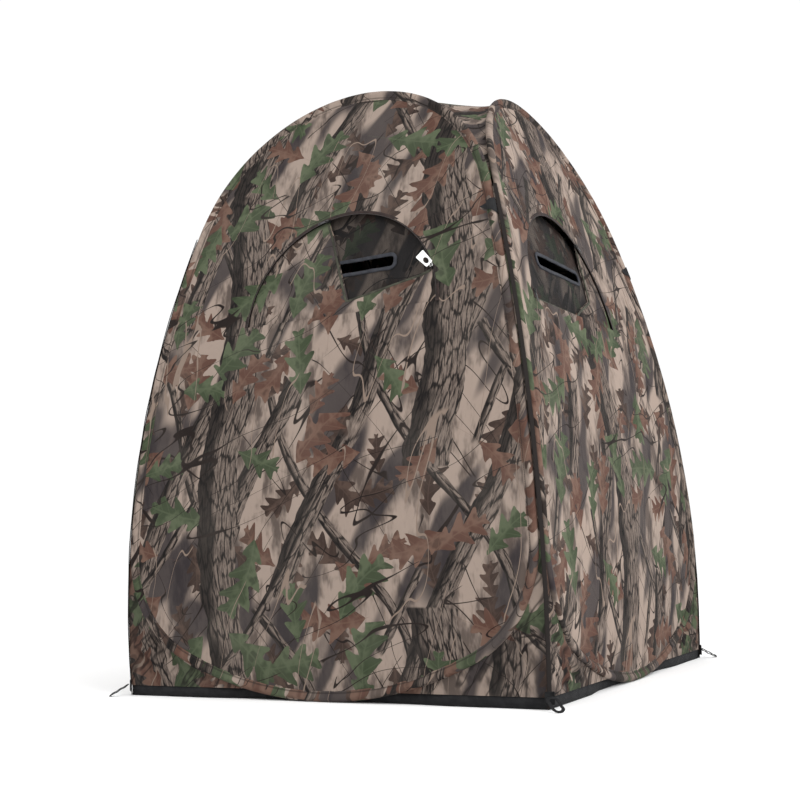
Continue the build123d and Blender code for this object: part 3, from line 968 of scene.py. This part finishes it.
def make_skirt():
    """The black band on the ground, behind the foot of each hoop."""
    section = ((0.0006, 0), (0.0006, 0.0012), (SKIRT_H / 2, 0.0014), (SKIRT_H, 0.0012), (SKIRT_H, 0))
    half, count = reach(0.0), 160
    walls = []
    for side in SIDES:
        rings = []
        for k in range(count + 1):
            u = -half + 2 * half * k / count
            tuck = 0.0125 * (1 - ease(abs(u), 0.22, 0.36)) + 0.0016
            wave = 0.0012 * soft(u * 17, SEEDS[side]) * ease(half - abs(u), 0.0, 0.05)
            ring = []
            for z, thick in section:
                ring.append(wall(u, z, -tuck + wave * (1 - z / SKIRT_H * 0.6) - thick))
            rings.append(ring)
        walls.append(loft(f"band_{side}", rings, side_matrix(side)))
    place(joined("ground_band", walls), BLACK, "webbing", ["ground_skirt"])


def make_loop(corner):
    """A webbing loop at a ground corner, and the tab that holds it."""
    turn = spin(CORNERS[corner])
    start = hypot(reach(LOOP_Z), reach(LOOP_Z)) + LOOP_OUT
    lie = turn @ Matrix.Translation((start, 0, LOOP_Z)) @ spin(LOOP_SLOPE, "Y")
    radius, straight = (LOOP_WIDE - LOOP_BAND) / 2, LOOP_LONG - LOOP_WIDE
    path, wides = [], []
    steps = 40
    for k in range(steps):
        part, within = divmod(4 * k / steps, 1)
        if part % 2:
            angle = pi * (part / 2 - 1 + within)
            wide = (cos(angle), sin(angle))
            far = straight if part == 1 else 0.0
        else:
            wide = (0, part - 1)
            far = straight * abs(part / 2 - within)
        point = (LOOP_WIDE / 2 + far + radius * wide[0], radius * wide[1])
        path.append(Vector((*point, 0.0006 * sin(3 * point[0] / 0.01))))
        wides.append(Vector((*wide, 0)))
    rings = band_points(path, [Vector((0, 0, 1))] * steps, wides, LOOP_BAND / 2, LOOP_T / 2)
    piece = loft(f"{corner}_peg_webbing", rings, lie, closed=True)
    place(piece, BLACK, "webbing", [f"{corner}_peg_loop"], f"{corner}_peg_loop")
    tab = Matrix.Translation((start - 0.0035, 0, LOOP_Z - 0.004)) @ spin(90, "Y")
    holder = rounded_plate(f"{corner}_peg_tab", 0.030, 0.024, 0.0022, 0.002)
    holder.data.transform(turn @ tab)
    place(holder, BLACK, "webbing")


def rounded_plate(name, length, width, thick, corner, hole=None, taper=1.0):
    """A plate with rounded corners and softened edges, which may have an oval hole."""
    outer = []
    for k in range(32):
        angle = 2 * pi * (k + 0.5) / 32
        c, s = cos(angle), sin(angle)
        x = copysign(length / 2 - corner, c) + corner * c
        y = copysign(width / 2 - corner, s) + corner * s
        outer.append((x, y * (1 + (taper - 1) * (0.5 - x / length))))
    inset = thick * 0.3
    rings = []
    for scale, level in ((1 - 2 * inset / width, -0.5), (1, -0.2), (1, 0.2), (1 - 2 * inset / width, 0.5)):
        rings.append([(x * scale, y * scale, level * thick) for x, y in outer])
    if hole:
        across, along, centre = hole
        inner = []
        for k in range(32):
            angle = 2 * pi * (k + 0.5) / 32
            inner.append((centre + along / 2 * cos(angle), across / 2 * sin(angle)))
        for grow, level in ((1.06, 0.5), (1, 0.2), (1, -0.2), (1.06, -0.5)):
            rings.append([(centre + (x - centre) * grow, y * grow, level * thick) for x, y in inner])
        return loft(name, rings, closed=True)
    return loft(name, rings)


def soft_box(name, size, at, bevel):
    """A block with rounded edges."""
    mesh = bmesh.new()
    bmesh.ops.create_cube(mesh, size=1.0)
    bmesh.ops.scale(mesh, vec=size, verts=mesh.verts)
    bmesh.ops.bevel(mesh, geom=mesh.edges[:], offset=bevel, segments=3, affect="EDGES", profile=0.5)
    bmesh.ops.translate(mesh, vec=at, verts=mesh.verts)
    data = bpy.data.meshes.new(name)
    mesh.to_mesh(data)
    mesh.free()
    data.polygons.foreach_set("use_smooth", [True] * len(data.polygons))
    return link(name, data)


def round_bar(name, radius, start, end):
    """A round bar with domed ends."""
    start, end = Vector(start), Vector(end)
    axis = (end - start).normalized()
    side = axis.orthogonal().normalized()
    other = axis.cross(side)
    rings = []
    for share, scale in ((0, 0.5), (0.06, 1.0), (0.94, 1.0), (1, 0.5)):
        centre = start.lerp(end, share)
        rings.append([centre + (side * cos(a) + other * sin(a)) * radius * scale
                      for a in (2 * pi * k / 12 for k in range(12))])
    return loft(name, rings)


def make_slider(name, lie, pull_name, along, tag=False):
    """A zip slider and its pull, in the frame across the zip, along it and out of the wall."""
    parts = []
    for out in (SLIDER_PLATE_OUT, -SLIDER_PLATE_OUT):
        plate = rounded_plate(f"{name}_plate", *SLIDER_PLATE)
        plate.data.transform(Matrix.Translation((0, 0, out)) @ spin(90 * along))
        parts.append(plate)
    parts += [soft_box(f"{name}_block", *block) for block in SLIDER_BLOCKS]
    body = joined(f"{name}_body", parts)
    body.data.transform(lie)
    place(body, PAINT, "slider", [name], name)
    parts = [round_bar(f"{pull_name}_pin", PIN_R, (-PIN_HALF, 0, PIN_OUT), (PIN_HALF, 0, PIN_OUT))]
    for x in (-0.0032, 0.0032):
        parts.append(soft_box(f"{pull_name}_arm", PULL_ARM, (x, along * 0.0044, PIN_OUT), 0.0003))
    shape = TAG_PLATE if tag else PULL_PLATE
    plate = rounded_plate(f"{pull_name}_plate", *shape)
    middle = PULL_START + shape[0] / 2
    slew = spin(TAG_SLEW if tag else 0.0)
    hang = Matrix.Translation((0, along * middle, PIN_OUT)) @ spin(90 * along)
    plate.data.transform(slew @ hang)
    parts.append(plate)
    pull = joined(f"{pull_name}_piece", parts)
    pull.data.transform(lie)
    material, slot = (WHITE_PLASTIC, "tag") if tag else (DARK_PLASTIC, "pull")
    place(pull, material, slot, [pull_name], pull_name)


def make_coil(name, spots, low, high, base, matrix):
    """A zip's coil, with a tooth from low to high at each spot.

    A spot turns a place across the zip, along it and out of it into a point."""
    points, faces = [], []
    for spot in spots:
        first = len(points)
        for level, inset, half in ((base, 0, TOOTH_HALF), (base + TOOTH_TOP, TOOTH_INSET, TOOTH_HALF / 2)):
            near, far = low + inset, high - inset
            points += [spot(*at, level) for at in ((near, -half), (near, half), (far, half), (far, -half))]
        faces += [tuple(first + i for i in face) for face in BOX_FACES]
    place(build(name, points, faces, None, matrix, smooth=False), COIL, "zip")


def make_window_zip(side):
    """The wall's half of a window's zip: its tape and its coil."""
    lie = side_matrix(side) @ window_matrix(side)
    rings = []
    steps = 170
    for k in range(steps + 1):
        angle = pi * k / steps
        c, s = cos(angle), sin(angle)
        inner = ARC_R + 0.0002
        wave = 0.0003 * soft(angle * 30, SEEDS[side])
        rings.append([Vector((c * r, s * r, level + wave)) for r, level in (
            (inner, -0.0006), (inner, 0.0002), (ARC_R + 0.010, 0.0002), (ARC_R + 0.010, -0.0006))])
    place(loft(f"{side}_zip_tape", rings, lie), TAPE, "zip", [f"{side}_window_zip"])

    def spot(angle):
        c, s = cos(angle), sin(angle)
        return lambda r, t, w: Vector((c * r - s * t, s * r + c * t, w))

    spots = [spot((k + 0.5) * TOOTH_PITCH / ARC_R) for k in range(int(pi * ARC_R / TOOTH_PITCH))]
    make_coil(f"{side}_zip_coil", spots, ARC_R + 0.0001, ARC_R + 0.0028, 0.0, lie)


def slot_outline(grow):
    """A rounded slot in a screen, as an outline on the wall."""
    half_w, half_h = SLOT_W / 2 + grow, SLOT_H / 2 + grow
    corner = half_h * 0.8
    loop = []
    for k in range(56):
        angle = 2 * pi * (k + 0.5) / 56
        c, s = cos(angle), sin(angle)
        x = copysign(half_w - corner, c) + corner * c
        y = copysign(half_h - corner, s) + corner * s
        sag = 0.004 * (1 - (x / half_w) ** 2) * (-1 if s < 0 else -0.4)
        loop.append((x, SLOT_UP + y + sag))
    return spaced(loop)


def make_screen(side):
    """The mesh screen behind a window, with its bound slot."""
    seed = SEEDS[side] + 40
    outer = window_loop(side, ARC_R + SCREEN_LAP, -SCREEN_LAP)
    hole = wall_loop(side, slot_outline(0.0))

    def out(u, z):
        return -SCREEN_BACK + 0.0035 * soft(u * 8, z * 6, seed) + 0.0015 * soft(u * 21, z * 17, seed)

    piece = sheet_mesh(f"{side}_mesh_screen", [outer, hole], out, side)
    place(piece, SCREEN, "mesh", [f"{side}_window_screen"])
    declare(piece)
    rings = []
    line = slot_outline(0.0040)
    _, up, normal = window_centre(side)
    for k in range(len(line)):
        u, z = on_wall(side, *line[k])
        before, after = line[k - 1], line[(k + 1) % len(line)]
        tangent = (after - before) / np.linalg.norm(after - before)
        wide = Vector((1, 0, 0)) * tangent[1] - up * tangent[0]
        puff = 0.0050 + 0.0010 * soft(k * 0.25, seed)
        rings += band_points([wall(u, z, out(u, z) + 0.0016)], [normal], [wide], puff, 0.0024)
    hem = loft(f"{side}_slot_binding", rings, side_matrix(side), closed=True)
    place(hem, HEM, "hem", [f"{side}_slot_hem"])


def make_flap(name, side, loop, node, travel, back, curl=None, hem=()):
    """A flap cut from the wall's own cloth, so that its print runs on when it is shut."""
    seed = SEEDS[side]
    centre, up, normal = window_centre(side)

    def out(u, z):
        local = (u - centre.x, (z - centre.z) / up.z)
        return panel_out(u, z, seed) * 0.4 - back - (curl(local) if curl else 0.0)

    piece = sheet_mesh(name, [loop], out, side, travel)
    place(piece, CLOTH, "camo", [node], node)
    declare(piece)
    if hem:
        line = wall_loop(side, hem)
        path = [wall(u, z, out(u, z) + 0.0006) for u, z in line]
        wides = []
        for k in range(len(line)):
            ahead, behind = line[min(k + 1, len(line) - 1)], line[max(k - 1, 0)]
            wide = Vector((1, 0, 0)) * (ahead[1] - behind[1]) - up * (ahead[0] - behind[0])
            wides.append(wide.normalized())
        rings = band_points(path, [normal] * len(path), wides, FOLD_WIDE, 0.0013)
        place(loft(f"{name}_hem", rings, side_matrix(side)), FOLD, "camo", (), node)


def edge_gap(point, a, b):
    """Distance from a point to a line between two others."""
    ax, ay, bx, by = *a, *b
    px, py = point[0] - ax, point[1] - ay
    dx, dy = bx - ax, by - ay
    share = max(0.0, min(1.0, (px * dx + py * dy) / (dx * dx + dy * dy)))
    return hypot(px - dx * share, py - dy * share)


def round_arc(radius, angle):
    return radius * cos(radians(angle)), radius * sin(radians(angle))


def tongue_edge(side):
    """The cut between a flap's zipped part and its loose tongue, from slider b to slider a."""
    _, angle_a, angle_b = WINDOWS[side]
    return [round_arc(ARC_R, angle_b)] + TONGUE_EDGE[side] + [round_arc(ARC_R, angle_a)]


def spaced_line(a, b):
    """Points from a up to b."""
    count = ceil(dist(a, b) / EDGE_STEP)
    return [(a[0] + (b[0] - a[0]) * k / count, a[1] + (b[1] - a[1]) * k / count) for k in range(count)]


def beside(line, gap):
    """A line moved sideways, to the left of the way it runs."""
    moved = []
    for k, (x, y) in enumerate(line):
        ahead, behind = line[min(k + 1, len(line) - 1)], line[max(k - 1, 0)]
        run = dist(ahead, behind)
        moved.append((x - (ahead[1] - behind[1]) / run * gap, y + (ahead[0] - behind[0]) / run * gap))
    return moved


def arc_points(radius, start, end):
    return [round_arc(radius, start + (end - start) * k / 60) for k in range(61)]


def make_parted_flap(side):
    """A part-open window's flap: the part still zipped, and the loose tongue hung behind the wall."""
    _, angle_a, angle_b = WINDOWS[side]
    radius, sill = FLAP_R, FLAP_SILL
    foot = degrees(asin(-sill / radius))
    edge = tongue_edge(side)
    wings = arc_points(radius, -foot, angle_b) + edge[1:-1] + arc_points(radius, angle_a, 180 + foot)
    if side == "right":  # the loose part takes the whole left end, so the rest stops at the sill
        wings = arc_points(radius, -foot, angle_b) + edge[1:-1] + [(edge[-2][0], sill)]
    loop = wall_loop(side, spaced(wings))

    def curl(local):
        gap = min(edge_gap(local, a, b) for a, b in zip(edge, edge[1:]))
        rim = ease(radius - hypot(*local), 0.0, 0.05)
        return 0.011 * exp(-gap / 0.016) * rim * ease(local[1], -0.004, 0.03)

    hem = [point for a, b in zip(edge, edge[1:]) for point in spaced_line(a, b)]
    hem = [point for point in hem if hypot(*point) < radius - 0.006 and point[1] > 0.006]
    hem = beside(hem, FOLD_WIDE + 0.0022)
    make_flap(f"{side}_flap_cloth", side, loop, f"{side}_window_flap", 0.0, FLAP_BACK, curl, hem)
    tongue = arc_points(TONGUE_R, angle_b, angle_a) + edge[-2:0:-1]
    loop = wall_loop(side, spaced(tongue))
    make_flap(f"{side}_tongue_cloth", side, loop, f"{side}_flap_tongue", TONGUE_DROP[side], TONGUE_BACK)


def make_windows():
    for side in WINDOWS:
        make_window_zip(side)
        make_screen(side)
        if side in TONGUE_EDGE:
            make_parted_flap(side)
        else:
            loop = window_loop(side, FLAP_R, FLAP_SILL)
            make_flap(f"{side}_flap_cloth", side, loop, f"{side}_window_flap", 0.0, FLAP_BACK)
        _, angle_a, angle_b = WINDOWS[side]
        for letter, angle, along in (("a", angle_a, 1), ("b", angle_b, -1)):
            tag = side == "front" and letter == "b"
            lie = side_matrix(side) @ window_matrix(side) @ spin(angle) @ Matrix.Translation((ARC_R, 0, 0))
            make_slider(f"{side}_slider_{letter}", lie, f"{side}_pull_{letter}", 1 if tag else along, tag)


def make_door():
    """The back door's leaf, its zips up both sides and the binding over its top edge."""
    side, seed = "back", SEEDS["back"]
    turn = side_matrix(side)
    points = [(DOOR_HALF, DOOR_TOP_Z), (-DOOR_HALF, DOOR_TOP_Z)]
    for hand, start in ((-1, 180), (1, 270)):
        middle = hand * (DOOR_HALF - DOOR_ROUND), DOOR_BOTTOM_Z + DOOR_ROUND
        for k in range(7):
            x, z = round_arc(DOOR_ROUND, start + 15 * k)
            points.append((middle[0] + x, middle[1] + z))
    leaf = sheet_mesh("door_cloth", [spaced(points)], lambda u, z: panel_out(u, z, seed + 3) - 0.0006, side)
    place(leaf, CLOTH, "camo", ["back_door"], "back_door")
    declare(leaf)
    tapes, spots = [], []
    section = ((0.3085, -0.0008), (0.3085, 0.0004), (0.3255, 0.0004), (0.3255, -0.0008))
    length = DOOR_ZIP_HIGH - DOOR_ZIP_LOW

    def spot(hand, z):
        return lambda u, t, w: wall(hand * u, z + t, w)

    for hand in (-1, 1):
        heights = [DOOR_ZIP_LOW + length * k / 149 for k in range(150)]
        rings = [[wall(hand * u, z, w) for u, w in section] for z in heights]
        tapes.append(loft(f"door_tape_{hand}", rings))
        spots += [spot(hand, DOOR_ZIP_LOW + (k + 0.5) * TOOTH_PITCH) for k in range(int(length / TOOTH_PITCH))]
    tape = joined("door_zip_tape", tapes)
    tape.data.transform(turn)
    place(tape, TAPE, "zip", ["back_door_zip"])
    make_coil("door_zip_coil", spots, 0.3122, 0.3178, 0.0004, turn)
    path = [wall(DOOR_BINDING_HALF * (k / 40 - 1), DOOR_BINDING_Z, 0.0012) for k in range(81)]
    up, normal = slant(DOOR_BINDING_Z)
    rings = band_points(path, [normal] * 81, [up] * 81, 0.011, 0.0013)
    place(loft("door_top_binding", rings, turn), TAPE, "zip")
    axes = frame_axes(*slant(DOOR_SLIDER_Z))
    for letter, hand in (("a", 1), ("b", -1)):
        lie = turn @ Matrix.Translation(wall(hand * DOOR_ZIP_X, DOOR_SLIDER_Z)) @ axes
        make_slider(f"back_slider_{letter}", lie, f"back_pull_{letter}", -1)


for side in SIDES:
    make_panel(side)
    make_sleeve(side)
    make_gussets(side)
make_seams()
make_roof()
make_skirt()
for corner in CORNERS:
    make_loop(corner)
make_windows()
make_door()


# ---------------------------------------------------------------- studio
def make_studio():
    mesh = bpy.data.meshes.new("studio_floor")
    far, back = 14.0, 9.0
    mesh.from_pydata([(-far, -far, 0), (far, -far, 0), (far, back, 0), (-far, back, 0)], [], [(0, 1, 2, 3)])
    floor = link("studio_floor", mesh)
    material, _, shader = start_material("studio_white", 0.9, 0.0)
    shader.inputs["Base Color"].default_value = (0.97, 0.97, 0.97, 1)
    floor.data.materials.append(material)
    world = bpy.data.worlds.new("studio")
    bpy.context.scene.world = world
    world.use_nodes = True
    background = world.node_tree.nodes["Background"]
    background.inputs["Color"].default_value = (1, 1, 1, 1)
    background.inputs["Strength"].default_value = 1.03
    for name, at, size, power in (
        ("key", (-2.6, -4.2, 4.6), 3.0, 95.0),
        ("fill", (4.8, -1.6, 2.6), 4.5, 270.0),
    ):
        light = bpy.data.lights.new(name, "AREA")
        light.size = size
        light.energy = power
        lamp = link(name, light)
        lamp.location = at
        lamp.rotation_euler = (Vector((0, 0, 0.8)) - Vector(at)).to_track_quat("-Z", "Y").to_euler()
    bpy.context.scene.view_settings.view_transform = "Standard"


def make_camera():
    yaw, pitch, roll = (radians(angle) for angle in (CAMERA_YAW, CAMERA_PITCH, CAMERA_ROLL))
    ahead = Vector((-sin(yaw) * cos(pitch), cos(yaw) * cos(pitch), sin(pitch)))
    level = Vector((cos(yaw), sin(yaw), 0))
    up = level.cross(ahead)
    right = level * cos(roll) + up * sin(roll)
    top = up * cos(roll) - level * sin(roll)
    data = bpy.data.cameras.new("camera")
    data.sensor_width = SENSOR
    data.lens = LENS
    camera = link("camera", data)
    axes = Matrix((right, top, -ahead)).transposed().to_4x4()
    camera.matrix_world = Matrix.Translation(CAMERA_AT) @ axes
    bpy.context.scene.camera = camera


make_studio()
make_camera()
